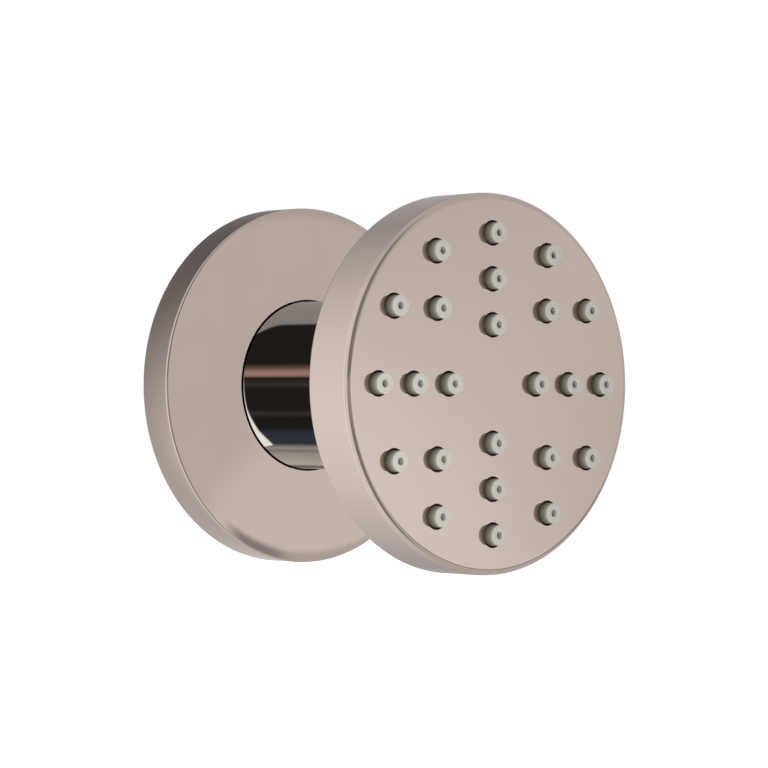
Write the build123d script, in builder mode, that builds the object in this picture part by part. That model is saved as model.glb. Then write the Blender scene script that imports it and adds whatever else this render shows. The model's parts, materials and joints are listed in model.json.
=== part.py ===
from build123d import *
from math import atan2, cos, degrees, radians, sin, tan
import os

# Shower body jet: a round spray head on a ball joint, at the end of a short neck that comes out
# of a wall flange.
# Millimetres, +Z up. The origin is on the wall, at the middle of the inlet thread. The jet leaves along -Y.
# A station is a distance out from the wall, so station 10 is at y = -10.
# Radii are measured from the jet's axis.

# Head: a turned cup, with the face and the rim in one piece
head_diameter = 75.0
head_thickness = 11.3
head_wall = 2.2
face_wall = 1.8
head_edge_radius = 1.2
head_rear_radius = 0.4

# Nozzles: three circles, each with four nozzles fewer than the one outside it
nozzle_circles = 3
outer_nozzles = 12
nozzle_step = 4
nozzle_margin = 7.9
nozzle_circle_pitch = 9.0
nozzle_root_diameter = 4.4
nozzle_draft = 3.0
nozzle_gap = 0.25
nozzle_height = 2.05
nozzle_tip_radius = 0.15
nozzle_orifice = 1.4
nozzle_feed = 2.4

# Inside of the head, from the face back
mat_thickness = 1.2
spray_plate_thickness = 2.2
spray_rim_wall = 3.4
boss_gap = 1.2
boss_diameter = 20.0
back_plate_thickness = 2.8
back_plate_recess = 0.3
back_spanner_hole = 4.0
back_spanner_radius = 24.0

# Ball joint
ball_diameter = 22.0
stem_diameter = 12.0
water_bore = 7.0
stem_hex_flats = 17.0
stem_hex_thickness = 2.0
tilt_limit = 15.0
front_wrap_angle = 34.0
rear_wrap_angle = 54.0
seat_wall = 2.3
seat_split = 2.4
seat_land = 0.6
retaining_ring_thickness = 2.6
retaining_ring_recess = 0.3
retaining_ring_step = 0.5
ring_spanner_hole = 2.4
spanner_hole_depth = 1.4

# Neck
neck_diameter = 35.0
neck_length = 47.4
neck_edge = 0.6
wall_gap = 0.8
head_gap = 5.2

# Inlet nipple, with a G 1/2 thread at both ends
thread_diameter = 20.955
thread_reach = 13.0
thread_lead = 1.0
relief_length = 2.0
relief_depth = 1.2
neck_thread_length = 6.5
spigot_diameter = 17.5
spigot_length = 4.5
key_flats = 10.0
key_depth = 8.0
nipple_bore = 9.0

# Inlet filter
filter_height = 2.0
filter_floor = 0.8
filter_rim = 1.5
filter_hole = 1.7
filter_hole_pitch = 2.6
filter_hole_circles = 2

# Flow regulator
regulator_length = 4.5
regulator_pocket_depth = 2.6
regulator_circle_radius = 4.4
regulator_hole = 1.6
regulator_holes = 8
regulator_ring_section = 2.2
socket_passage = 10.0

# Wall flange: a hollow cup with a collar round the neck
flange_diameter = 74.2
flange_thickness = 8.1
flange_edge_radius = 0.4
flange_face_wall = 2.2
flange_rim_wall = 3.1
flange_gap = 0.4
collar_wall = 4.2
collar_setback = 1.4
gasket_width = 1.9
gasket_thickness = 1.6

# Sections of the sealing rings
chamber_seal_section = 1.8
stem_seal_section = 1.8
seat_ring_section = 2.0
nipple_seal_section = 1.5
regulator_seal_section = 1.5
flange_ring_section = 2.0
groove_side_room = 0.2

# Clearances on the radius, or at each face
still_clearance = 0.05
running_clearance = 0.1
mat_clearance = 0.3
stem_clearance = 0.8
ball_room = 0.5
seal_clearance = 0.03

# Radii
head_radius = head_diameter / 2
shell_bore = head_radius - head_wall
nozzle_root = nozzle_root_diameter / 2
ball_radius = ball_diameter / 2
seat_bore = ball_radius + running_clearance
seat_radius = seat_bore + seat_wall
socket_radius = seat_radius + running_clearance
stem_radius = stem_diameter / 2
stem_seal_radius = stem_radius + still_clearance + seal_clearance + stem_seal_section / 2
neck_radius = neck_diameter / 2
thread_radius = thread_diameter / 2
spigot_radius = spigot_diameter / 2
inlet_bore = spigot_radius + still_clearance
flange_radius = flange_diameter / 2
flange_hole = neck_radius + flange_gap
collar_radius = flange_hole + collar_wall
flange_bore = flange_radius - flange_rim_wall

# Stations, from the wall out
nipple_shoulder = relief_length + neck_thread_length
nipple_front = nipple_shoulder + spigot_length
filter_front = nipple_front + filter_height
regulator_front = filter_front + regulator_length
flange_face_inside = flange_thickness - flange_face_wall
neck_rear = wall_gap
neck_front = neck_rear + neck_length
ring_front = neck_front - retaining_ring_recess
ring_rear = ring_front - retaining_ring_thickness
front_seat_front = ring_rear - running_clearance
front_wrap = seat_bore * sin(radians(front_wrap_angle))
ball_centre = front_seat_front - seat_land - front_wrap
rear_wrap = seat_bore * sin(radians(rear_wrap_angle))
rear_seat_rear = ball_centre - rear_wrap - seat_land
socket_floor = rear_seat_rear - running_clearance
head_back = neck_front + head_gap
back_plate_rear = head_back + back_plate_recess
back_plate_front = back_plate_rear + back_plate_thickness
head_face = head_back + head_thickness
face_inside = head_face - face_wall
mat_back = face_inside - mat_thickness
spray_back = mat_back - spray_plate_thickness
boss_front = spray_back - boss_gap
nozzle_tip = head_face + nozzle_height

# Half sections are drawn with the radius across and the station up, then turned about the jet's axis
section_plane = Plane(origin=(0, 0, 0), x_dir=(1, 0, 0), z_dir=(0, 0, -1))
jet_axis = Axis((0, 0, 0), (0, -1, 0))


def face_at(station):
    """A plane square to the jet at this station, looking out from the wall, with +Z up."""
    return Plane(origin=(0, -station, 0), x_dir=(1, 0, 0), z_dir=(0, -1, 0))


def band(inner, outer, rear, front, mode=Mode.ADD):
    """A rectangle of a half section, from one radius to another and one station to another."""
    with Locations(((inner + outer) / 2, (rear + front) / 2)):
        Rectangle(outer - inner, front - rear, mode=mode)


def outer_corner(section, end):
    """The corner of a half section furthest from the axis, at its rear (end 0) or its front (end -1)."""
    return section.vertices().group_by(Axis.Y)[end].sort_by(Axis.X)[-1]


def nozzle_places(radius):
    """A circle of this radius at every nozzle."""
    for circle in range(nozzle_circles):
        circle_radius = head_radius - nozzle_margin - circle * nozzle_circle_pitch
        with PolarLocations(circle_radius, outer_nozzles - circle * nozzle_step):
            Circle(radius)


def sealing_ring(radius, section_diameter, station):
    """A rubber ring of round section, by the radius and the station of its section's middle."""
    with BuildPart() as ring:
        with BuildSketch(section_plane):
            with Locations((radius, station)):
                Circle(section_diameter / 2)
        revolve(axis=jet_axis)
    return ring


def save(piece, name):
    """Label a finished piece and write its STEP file."""
    piece.part.label = name
    export_step(piece.part, f"parts/{name}.step")


os.makedirs("parts", exist_ok=True)

# Head shell: a cup with a rounded front edge and a round hole for each nozzle
with BuildPart() as head_shell:
    with BuildSketch(section_plane) as shell_section:
        band(0, head_radius, head_back, head_face)
        fillet(outer_corner(shell_section, -1), head_edge_radius)
        fillet(outer_corner(shell_section, 0), head_rear_radius)
        band(0, shell_bore, head_back, face_inside, mode=Mode.SUBTRACT)
    revolve(axis=jet_axis)
    with BuildSketch(face_at(head_face)):
        nozzle_places(nozzle_root + nozzle_gap)
    extrude(amount=-face_wall, mode=Mode.SUBTRACT)
save(head_shell, "head_shell")

# Nozzle mat: a rubber disc behind the face, with tapered, round-edged buttons that stand through its holes.
# The water's way through each button narrows from the feed to the orifice.
bore_taper = degrees(atan2((nozzle_feed - nozzle_orifice) / 2, nozzle_tip - mat_back))
with BuildPart() as nozzle_mat:
    with BuildSketch(face_at(face_inside)):
        Circle(shell_bore - mat_clearance)
    extrude(amount=-mat_thickness)
    with BuildSketch(face_at(face_inside)):
        nozzle_places(nozzle_root)
    extrude(amount=nozzle_tip - face_inside, taper=nozzle_draft)
    fillet(nozzle_mat.edges().group_by(Axis.Y)[0], nozzle_tip_radius)
    with BuildSketch(face_at(mat_back)):
        nozzle_places(nozzle_feed / 2)
    extrude(amount=nozzle_tip - mat_back, taper=bore_taper, mode=Mode.SUBTRACT)
save(nozzle_mat, "nozzle_mat")

# Spray plate: presses the mat to the face. Its rim reaches back to the back plate, with a seal at its corner
chamber_seal_seat = chamber_seal_section + 2 * seal_clearance
with BuildPart() as spray_plate:
    with BuildSketch(section_plane):
        band(0, shell_bore - still_clearance, back_plate_front, mat_back)
        band(0, shell_bore - spray_rim_wall, back_plate_front, spray_back, mode=Mode.SUBTRACT)
        band(
            shell_bore - chamber_seal_seat,
            shell_bore,
            back_plate_front,
            back_plate_front + chamber_seal_seat,
            mode=Mode.SUBTRACT,
        )
    revolve(axis=jet_axis)
    with BuildSketch(face_at(mat_back)):
        nozzle_places(nozzle_feed / 2)
    extrude(amount=-spray_plate_thickness, mode=Mode.SUBTRACT)
save(spray_plate, "spray_plate")

chamber_o_ring = sealing_ring(
    shell_bore - chamber_seal_seat / 2,
    chamber_seal_section,
    back_plate_front + chamber_seal_seat / 2,
)
save(chamber_o_ring, "chamber_o_ring")

# Back plate: screws into the shell's rim. Its boss takes the stem's thread, and a step there the stem's seal
stem_seal_seat = stem_seal_section + 2 * seal_clearance
with BuildPart() as back_plate:
    with BuildSketch(section_plane):
        band(0, shell_bore - still_clearance, back_plate_rear, back_plate_front)
        band(0, boss_diameter / 2, back_plate_rear, boss_front)
        band(0, stem_radius + still_clearance, back_plate_rear, boss_front, mode=Mode.SUBTRACT)
        band(
            0,
            stem_radius + still_clearance + stem_seal_seat,
            back_plate_rear,
            back_plate_rear + stem_seal_seat,
            mode=Mode.SUBTRACT,
        )
    revolve(axis=jet_axis)
    with BuildSketch(face_at(back_plate_rear)):
        with PolarLocations(back_spanner_radius, 2):
            Circle(back_spanner_hole / 2)
    extrude(amount=spanner_hole_depth, mode=Mode.SUBTRACT)
save(back_plate, "back_plate")

stem_o_ring = sealing_ring(stem_seal_radius, stem_seal_section, back_plate_rear + stem_seal_seat / 2)
save(stem_o_ring, "stem_o_ring")

# Swivel ball: ball, stem, hex collar and thread in one turned piece, with the water bore through it
with BuildPart() as swivel_ball:
    with BuildSketch(section_plane):
        with Locations((0, ball_centre)):
            Circle(ball_radius)
        band(0, stem_radius, ball_centre, boss_front)
        band(0, water_bore / 2, ball_centre - ball_radius, boss_front, mode=Mode.SUBTRACT)
        band(-ball_radius, 0, ball_centre - ball_radius, boss_front, mode=Mode.SUBTRACT)
    revolve(axis=jet_axis)
    with BuildSketch(face_at(back_plate_rear)):
        RegularPolygon(stem_hex_flats / 2, 6, major_radius=False)
        Circle(stem_radius, mode=Mode.SUBTRACT)
    extrude(amount=-stem_hex_thickness)
save(swivel_ball, "swivel_ball")

# Ball seats: two plastic rings, cut to the ball, which turn with it in the socket
front_seat_mouth = seat_bore * cos(radians(front_wrap_angle))
with BuildPart() as front_seat:
    with BuildSketch(section_plane):
        band(front_seat_mouth, seat_radius, ball_centre + seat_split / 2, front_seat_front)
        with Locations((0, ball_centre)):
            Circle(seat_bore, mode=Mode.SUBTRACT)
    revolve(axis=jet_axis)
save(front_seat, "front_seat")

rear_seat_mouth = seat_bore * cos(radians(rear_wrap_angle))
with BuildPart() as rear_seat:
    with BuildSketch(section_plane):
        band(rear_seat_mouth, seat_radius, rear_seat_rear, ball_centre - seat_split / 2)
        with Locations((0, ball_centre)):
            Circle(seat_bore, mode=Mode.SUBTRACT)
    revolve(axis=jet_axis)
save(rear_seat, "rear_seat")

# Rubber ring in a groove of the socket's floor, which presses the seats to the ball
seat_ring_radius = (rear_seat_mouth + seat_radius) / 2
seat_o_ring = sealing_ring(seat_ring_radius, seat_ring_section, socket_floor - seat_ring_section / 2)
save(seat_o_ring, "seat_o_ring")

# Retaining ring: its mouth clears the tilted stem, and two holes take a pin spanner
tilted_stem = stem_radius / cos(radians(tilt_limit)) + (ring_front - ball_centre) * tan(radians(tilt_limit))
ring_mouth = max(tilted_stem + stem_clearance, front_seat_mouth + running_clearance)
ring_thread = socket_radius + retaining_ring_step
ring_radius = ring_thread - still_clearance
with BuildPart() as retaining_ring:
    with BuildSketch(section_plane):
        band(ring_mouth, ring_radius, ring_rear, ring_front)
    revolve(axis=jet_axis)
    with BuildSketch(face_at(ring_front)):
        with PolarLocations((ring_mouth + ring_radius) / 2, 2):
            Circle(ring_spanner_hole / 2)
    extrude(amount=-spanner_hole_depth, mode=Mode.SUBTRACT)
save(retaining_ring, "retaining_ring")

# Neck: a polished cylinder, bored from the wall for the inlet pieces and from the front for the ball
seat_groove = seat_ring_section / 2 + groove_side_room
with BuildPart() as neck_body:
    with BuildSketch(section_plane) as neck_section:
        band(0, neck_radius, neck_rear, neck_front)
        chamfer(outer_corner(neck_section, -1), neck_edge)
        chamfer(outer_corner(neck_section, 0), neck_edge)
        band(0, thread_radius + still_clearance, neck_rear, nipple_shoulder, mode=Mode.SUBTRACT)
        band(0, inlet_bore, nipple_shoulder, regulator_front, mode=Mode.SUBTRACT)
        band(0, socket_passage / 2, regulator_front, socket_floor, mode=Mode.SUBTRACT)
        with Locations((0, ball_centre)):
            Circle(ball_radius + ball_room, mode=Mode.SUBTRACT)
        band(0, socket_radius, socket_floor, ring_rear, mode=Mode.SUBTRACT)
        band(0, ring_thread, ring_rear, neck_front, mode=Mode.SUBTRACT)
        band(
            seat_ring_radius - seat_groove,
            seat_ring_radius + seat_groove,
            socket_floor - seat_ring_section - seal_clearance,
            socket_floor,
            mode=Mode.SUBTRACT,
        )
    revolve(axis=jet_axis)
save(neck_body, "neck_body")

# Inlet nipple: a thread for the wall, one for the neck, a spigot with a seal, and a socket for a hex key
nipple_seal_station = (nipple_shoulder + nipple_front) / 2
nipple_groove_floor = inlet_bore - nipple_seal_section - 2 * seal_clearance
nipple_groove = nipple_seal_section / 2 + groove_side_room
with BuildPart() as inlet_nipple:
    with BuildSketch(section_plane) as nipple_section:
        band(0, thread_radius, -thread_reach, nipple_shoulder)
        chamfer(outer_corner(nipple_section, 0), thread_lead)
        band(thread_radius - relief_depth, thread_radius, 0, relief_length, mode=Mode.SUBTRACT)
        band(0, spigot_radius, nipple_shoulder, nipple_front)
        band(
            nipple_groove_floor,
            spigot_radius,
            nipple_seal_station - nipple_groove,
            nipple_seal_station + nipple_groove,
            mode=Mode.SUBTRACT,
        )
        band(0, nipple_bore / 2, -thread_reach, nipple_front, mode=Mode.SUBTRACT)
    revolve(axis=jet_axis)
    with BuildSketch(face_at(nipple_front)):
        RegularPolygon(key_flats / 2, 6, major_radius=False)
    extrude(amount=-key_depth, mode=Mode.SUBTRACT)
save(inlet_nipple, "inlet_nipple")

nipple_o_ring = sealing_ring(
    inlet_bore - seal_clearance - nipple_seal_section / 2, nipple_seal_section, nipple_seal_station
)
save(nipple_o_ring, "nipple_o_ring")

# Inlet filter: a moulded strainer with a rim, between the nipple and the regulator
with BuildPart() as inlet_filter:
    with BuildSketch(section_plane):
        band(0, spigot_radius, nipple_front, filter_front)
        band(0, spigot_radius - filter_rim, nipple_front, filter_front - filter_floor, mode=Mode.SUBTRACT)
    revolve(axis=jet_axis)
    with BuildSketch(face_at(filter_front)):
        Circle(filter_hole / 2)
        for circle in range(1, filter_hole_circles + 1):
            with PolarLocations(circle * filter_hole_pitch, 6 * circle):
                Circle(filter_hole / 2)
    extrude(amount=-filter_floor, mode=Mode.SUBTRACT)
save(inlet_filter, "inlet_filter")

# Flow regulator: a ring of flow holes under a flexible ring, in a housing that seals in the neck
regulator_seal_station = (filter_front + regulator_front) / 2
regulator_groove_floor = inlet_bore - regulator_seal_section - 2 * seal_clearance
regulator_groove = regulator_seal_section / 2 + groove_side_room
pocket_half_width = regulator_ring_section / 2 + groove_side_room
pocket_floor = filter_front + regulator_pocket_depth
with BuildPart() as regulator_body:
    with BuildSketch(section_plane):
        band(0, spigot_radius, filter_front, regulator_front)
        band(
            regulator_groove_floor,
            spigot_radius,
            regulator_seal_station - regulator_groove,
            regulator_seal_station + regulator_groove,
            mode=Mode.SUBTRACT,
        )
        band(
            regulator_circle_radius - pocket_half_width,
            regulator_circle_radius + pocket_half_width,
            filter_front,
            pocket_floor,
            mode=Mode.SUBTRACT,
        )
    revolve(axis=jet_axis)
    with BuildSketch(face_at(regulator_front)):
        with PolarLocations(regulator_circle_radius, regulator_holes):
            Circle(regulator_hole / 2)
    extrude(amount=pocket_floor - regulator_front, mode=Mode.SUBTRACT)
save(regulator_body, "regulator_body")

regulator_ring = sealing_ring(
    regulator_circle_radius,
    regulator_ring_section,
    pocket_floor - seal_clearance - regulator_ring_section / 2,
)
save(regulator_ring, "regulator_ring")

regulator_o_ring = sealing_ring(
    inlet_bore - seal_clearance - regulator_seal_section / 2, regulator_seal_section, regulator_seal_station
)
save(regulator_o_ring, "regulator_o_ring")

# Flange: a hollow cup. Its collar holds a rubber ring on the neck, and a step in its rim holds the gasket
flange_ring_radius = neck_radius + running_clearance + flange_ring_section / 2
flange_ring_station = (collar_setback + flange_face_inside) / 2
flange_groove = flange_ring_section / 2 + groove_side_room
gasket_seat = flange_bore + gasket_width + still_clearance
with BuildPart() as flange:
    with BuildSketch(section_plane) as flange_section:
        band(flange_hole, flange_radius, 0, flange_thickness)
        fillet(outer_corner(flange_section, -1), flange_edge_radius)
        band(flange_hole, flange_bore, 0, flange_face_inside, mode=Mode.SUBTRACT)
        band(flange_hole, collar_radius, collar_setback, flange_face_inside)
        band(
            flange_hole,
            flange_ring_radius + flange_ring_section / 2 + seal_clearance,
            flange_ring_station - flange_groove,
            flange_ring_station + flange_groove,
            mode=Mode.SUBTRACT,
        )
        band(flange_bore, gasket_seat, 0, gasket_thickness, mode=Mode.SUBTRACT)
    revolve(axis=jet_axis)
save(flange, "flange")

flange_o_ring = sealing_ring(flange_ring_radius, flange_ring_section, flange_ring_station)
save(flange_o_ring, "flange_o_ring")

with BuildPart() as wall_gasket:
    with BuildSketch(section_plane):
        band(flange_bore, gasket_seat - still_clearance, 0, gasket_thickness)
    revolve(axis=jet_axis)
save(wall_gasket, "wall_gasket")
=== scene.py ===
# %% [markdown]
# # Dressing a shower body jet
# A body jet sprays from the shower's wall. A round head with rubber nozzles sits on a ball joint, at the end of a
# short thick neck that comes out of a round wall flange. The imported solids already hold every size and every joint,
# so this lesson only gives them their looks: finer meshes with soft edges where the eye goes, and a finish for
# every surface. Each cell makes one thing and prints what it made.

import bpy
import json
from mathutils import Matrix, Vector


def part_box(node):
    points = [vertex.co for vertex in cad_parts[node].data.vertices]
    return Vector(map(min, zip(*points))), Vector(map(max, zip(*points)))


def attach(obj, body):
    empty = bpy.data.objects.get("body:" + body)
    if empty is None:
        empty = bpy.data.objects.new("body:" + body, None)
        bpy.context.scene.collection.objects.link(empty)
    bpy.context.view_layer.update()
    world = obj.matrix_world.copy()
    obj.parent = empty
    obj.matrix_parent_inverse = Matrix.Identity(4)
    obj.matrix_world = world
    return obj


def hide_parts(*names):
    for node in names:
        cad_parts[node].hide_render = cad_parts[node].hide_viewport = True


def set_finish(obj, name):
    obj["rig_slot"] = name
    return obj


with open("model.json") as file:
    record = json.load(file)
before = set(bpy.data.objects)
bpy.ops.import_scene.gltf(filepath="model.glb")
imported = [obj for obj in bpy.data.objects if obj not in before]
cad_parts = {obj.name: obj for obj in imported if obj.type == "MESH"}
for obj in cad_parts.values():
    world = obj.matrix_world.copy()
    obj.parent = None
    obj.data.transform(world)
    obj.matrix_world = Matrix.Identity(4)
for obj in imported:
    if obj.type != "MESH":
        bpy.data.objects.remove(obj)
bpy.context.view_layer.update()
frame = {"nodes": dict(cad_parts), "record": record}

# %% [markdown]
# ## Measures
# The jet's axis runs out from the wall, along -Y. A *station* is a distance out from the wall, so a turned piece is
# described as on a lathe, by radius and station. Copying sizes by hand would let a mesh drift away from its solid,
# so the outer sizes are read from the solids' boxes. Only what a box can't tell, such as the rounding of an edge,
# is written down, in the cell that first needs it.

# %% Radii and stations
import json
from math import acos, asin, cos, hypot, pi, radians, sin, tan

import bmesh
import bpy
from mathutils import Vector

mm = 0.001


def turned_size(node):
    """A turned solid's outer radius, and its stations nearest to the wall and furthest from it."""
    low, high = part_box(node)
    return high.x, -high.y, -low.y


head_radius, head_back, head_face = turned_size("head_shell")
neck_radius, neck_rear, neck_front = turned_size("neck_body")
flange_radius, flange_back, flange_face = turned_size("flange")
print(f"head {head_radius / mm:.2f}, neck {neck_radius / mm:.2f}, flange {flange_radius / mm:.2f} mm in radius")

# %% [markdown]
# ## Where the viewer stands
# The viewer stands well back, a hair below the jet's axis and to its left, and looks past the head at the flange. A
# long lens from this distance keeps the two discs nearly the same size, with just a little perspective. The camera
# comes first, because every later choice of detail depends on what it sees.

# %% Camera
viewer_turn = radians(40.96)
viewer_tilt = radians(0.36)
viewer_distance = 599.8 * mm
viewer_aside = 21.34 * mm
lens = 143.6

sight = Vector((sin(viewer_turn) * cos(viewer_tilt), cos(viewer_turn) * cos(viewer_tilt), sin(viewer_tilt)))
rightward = Vector((cos(viewer_turn), -sin(viewer_turn), 0.0))
face_middle = Vector((0.0, -head_face, 0.0))

camera = bpy.data.objects.new("camera", bpy.data.cameras.new("camera"))
camera.data.lens = lens
camera.location = face_middle - viewer_distance * sight - viewer_aside * rightward
camera.rotation_euler = sight.to_track_quat("-Z", "Y").to_euler()
bpy.context.scene.collection.objects.link(camera)
bpy.context.scene.camera = camera
print("camera at", tuple(camera.location))

# %% [markdown]
# ## A lathe in mesh code
# Nearly every piece of a body jet is turned on a lathe. Blender's Spin or Screw could turn a drawn profile, but a
# profile written as corners, each with its own rounding, is easier to read and to change. So the first helper
# rounds the corners with arcs. It also leaves a *holding point* beside each arc: the extra ring keeps the
# shading of the flat faces flat, which matters a lot on polished metal.

# %% Rounding the corners of an outline
arc_steps = 8
holding = 0.1 * mm


def softened(corners, closed=False):
    """Points of an outline, from corners of (radius, station, rounding)."""
    points = []
    for number, (radius, station, rounding) in enumerate(corners):
        here = Vector((radius, station))
        end_of_line = not closed and number in (0, len(corners) - 1)
        if rounding == 0 or end_of_line:
            points.append(tuple(here))
            continue
        back = (Vector(corners[number - 1][:2]) - here).normalized()
        on = (Vector(corners[(number + 1) % len(corners)][:2]) - here).normalized()
        half_angle = back.angle(on) / 2
        start = here + back * rounding / tan(half_angle)
        stop = here + on * rounding / tan(half_angle)
        middle = here + (back + on).normalized() * rounding / sin(half_angle)
        points.append(tuple(start + back * holding))
        for step in range(arc_steps + 1):
            spoke = (start - middle).slerp(stop - middle, step / arc_steps).normalized()
            points.append(tuple(middle + spoke * rounding))
        points.append(tuple(stop + on * holding))
    return points


print("a rounded corner has", len(softened([(0, 0, 0), (mm, 0, 0.2 * mm), (mm, mm, 0)])) - 2, "points")

# %% [markdown]
# The outline is then turned into rings of points with faces between them. A ring may stand round the jet's own axis
# or round a nozzle's, and its radius may change with the turn, which later gives a hexagon and a screw thread.
# Flat faces with holes are covered last, with triangles between the rings that bound them.

# %% Turning, covering and finishing
jet_sides = 256
smooth_up_to = radians(32)


def at(value, turn):
    """A size that is a plain number, or a function of the turn."""
    return value(turn) if callable(value) else value


def ring_of_points(mesh, radius, station, sides, centre):
    ring = []
    for side in range(sides):
        turn = 2 * pi * side / sides
        across = centre[0] + at(radius, turn) * cos(turn)
        upward = centre[1] + at(radius, turn) * sin(turn)
        ring.append(mesh.verts.new((across, -at(station, turn), upward)))
    return ring


def next_along(ring):
    return ring[1:] + ring[:1]


def turn_outline(mesh, outline, closed=False, sides=jet_sides, centre=(0.0, 0.0)):
    """Turns an outline about an axis along the jet, and returns its first and last rings."""
    rings = [ring_of_points(mesh, radius, station, sides, centre) for radius, station in outline]
    pairs = zip(rings, next_along(rings)) if closed else zip(rings, rings[1:])
    for near, far in pairs:
        for corners in zip(near, next_along(near), next_along(far), far):
            mesh.faces.new(corners)
    return rings[0], rings[-1]


def cover(mesh, rings):
    """Fills the flat face that these rings bound."""
    edges = [mesh.edges.get(pair) for ring in rings for pair in zip(ring, next_along(ring))]
    bmesh.ops.triangle_fill(mesh, edges=edges, use_beauty=True, normal=(0, -1, 0))


def finished_piece(mesh, name, body, node, finish_slot, smooth=smooth_up_to):
    """Makes an object of the mesh, smooth up to its sharp edges, which rides a body in the place of a solid."""
    bmesh.ops.recalc_face_normals(mesh, faces=mesh.faces)
    data = bpy.data.meshes.new(name)
    mesh.to_mesh(data)
    mesh.free()
    data.shade_smooth()
    data.set_sharp_from_angle(angle=smooth)
    piece = bpy.data.objects.new(name, data)
    bpy.context.scene.collection.objects.link(piece)
    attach(piece, body)
    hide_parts(node)
    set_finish(piece, finish_slot)
    triangles = sum(len(face.vertices) - 2 for face in data.polygons)
    print(f"{name}: {triangles} triangles, rides {body}, stands for {node}")
    return piece


print("a turned ring has", jet_sides, "sides")

# %% [markdown]
# ## The head's cup
# Face and rim are one turned cup. The front edge has a generous rounding that catches the light, the back edge a
# small one, and the face has a hole for every nozzle. Cutting the holes with booleans would leave ragged faces
# around them, so each hole's wall is turned on its own and the face is covered round the holes.

# %% Nozzle places
nozzle_circles = 3
outer_nozzles = 12
fewer_per_circle = 4
nozzle_margin = 7.9 * mm
circle_pitch = 9.0 * mm

nozzle_places = []
for circle in range(nozzle_circles):
    circle_radius = head_radius - nozzle_margin - circle * circle_pitch
    on_circle = outer_nozzles - circle * fewer_per_circle
    for number in range(on_circle):
        turn = 2 * pi * number / on_circle
        nozzle_places.append((circle_radius * cos(turn), circle_radius * sin(turn)))
print(len(nozzle_places), "nozzles")

# %% Head cup
cup_wall = 2.2 * mm
face_wall = 1.8 * mm
front_rounding = 1.2 * mm
back_rounding = 0.4 * mm
nozzle_hole = 2.45 * mm
hole_rounding = 0.12 * mm
hole_sides = 48

cup_bore = head_radius - cup_wall
face_inside = head_face - face_wall
cup_outline = softened([
    (head_radius - front_rounding - 3 * holding, head_face, 0),
    (head_radius, head_face, front_rounding),
    (head_radius, head_back, back_rounding),
    (cup_bore, head_back, hole_rounding),
    (cup_bore, face_inside, 0),
    (cup_bore - holding, face_inside, 0),
])
hole_outline = softened([
    (nozzle_hole + hole_rounding + 2 * holding, head_face, 0),
    (nozzle_hole, head_face, hole_rounding),
    (nozzle_hole, face_inside, 0),
    (nozzle_hole + holding, face_inside, 0),
])

cup = bmesh.new()
cup_rings = [turn_outline(cup, cup_outline)]
for place in nozzle_places:
    cup_rings.append(turn_outline(cup, hole_outline, sides=hole_sides, centre=place))
cover(cup, [first for first, last in cup_rings])
cover(cup, [last for first, last in cup_rings])
head_cup = finished_piece(cup, "head_cup", "head", "head_shell", "satin_nickel")

# %% [markdown]
# ## The nozzles
# All the nozzles are one silicone moulding: a mat behind the face, with a tapered button standing through each hole.
# Limescale is rubbed off them with a thumb, so they stand proud of the face, with flat tips. Each button's outline runs
# up its side, over the tip and down the water's way, which widens towards the back. The mat is covered round the
# buttons.

# %% Nozzle mat and buttons
button_root = 2.2 * mm
button_draft = radians(3.0)
tip_rounding = 0.15 * mm
orifice = 0.7 * mm
orifice_rounding = 0.25 * mm
feed = 1.2 * mm
button_sides = 48

mat_radius, mat_back, nozzle_tip = turned_size("nozzle_mat")
button_tip = button_root - (nozzle_tip - face_inside) * tan(button_draft)
mat_outline = softened([
    (mat_radius - 3 * holding, face_inside, 0),
    (mat_radius, face_inside, holding),
    (mat_radius, mat_back, holding),
    (mat_radius - 3 * holding, mat_back, 0),
])
button_outline = softened([
    (button_root + holding, face_inside, 0),
    (button_root, face_inside, 0),
    (button_tip, nozzle_tip, tip_rounding),
    (orifice, nozzle_tip, orifice_rounding),
    (feed, mat_back, 0),
    (feed + holding, mat_back, 0),
])

mat = bmesh.new()
mat_rings = [turn_outline(mat, mat_outline)]
for place in nozzle_places:
    mat_rings.append(turn_outline(mat, button_outline, sides=button_sides, centre=place))
cover(mat, [first for first, last in mat_rings])
cover(mat, [last for first, last in mat_rings])
nozzle_buttons = finished_piece(mat, "nozzle_buttons", "head", "nozzle_mat", "nozzle_rubber")

# %% [markdown]
# ## The neck
# The neck is a plain polished cylinder, and that is why it shows the whole studio in its bands of light and dark. It is
# bored from both ends. The bores take their sizes from the pieces that sit in them, with the same small
# clearances, so the section is true although little of it is ever seen.

# %% Neck
still_room = 0.05 * mm
moving_room = 0.1 * mm
neck_edge = 0.5 * mm
nipple_shoulder = 8.5 * mm
passage = 5.0 * mm

ring_radius, ring_rear, _ = turned_size("retaining_ring")
seat_radius, seat_rear, _ = turned_size("rear_seat")
nipple_radius, nipple_rear, nipple_front = turned_size("inlet_nipple")
regulator_radius, _, regulator_front = turned_size("regulator_body")
ring_bore = ring_radius + still_room
socket = seat_radius + moving_room
socket_floor = seat_rear - moving_room
inlet_bore = regulator_radius + still_room
thread_bore = nipple_radius + still_room
neck_outline = softened([
    (neck_radius, neck_rear, neck_edge),
    (neck_radius, neck_front, neck_edge),
    (ring_bore, neck_front, 2 * holding),
    (ring_bore, ring_rear, 0),
    (socket, ring_rear, 0),
    (socket, socket_floor, 0),
    (passage, socket_floor, 0),
    (passage, regulator_front, 0),
    (inlet_bore, regulator_front, 0),
    (inlet_bore, nipple_shoulder, 0),
    (thread_bore, nipple_shoulder, 0),
    (thread_bore, neck_rear, 2 * holding),
], closed=True)

neck = bmesh.new()
turn_outline(neck, neck_outline, closed=True)
neck_tube = finished_piece(neck, "neck_tube", "neck", "neck_body", "mirror_nickel")

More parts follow.
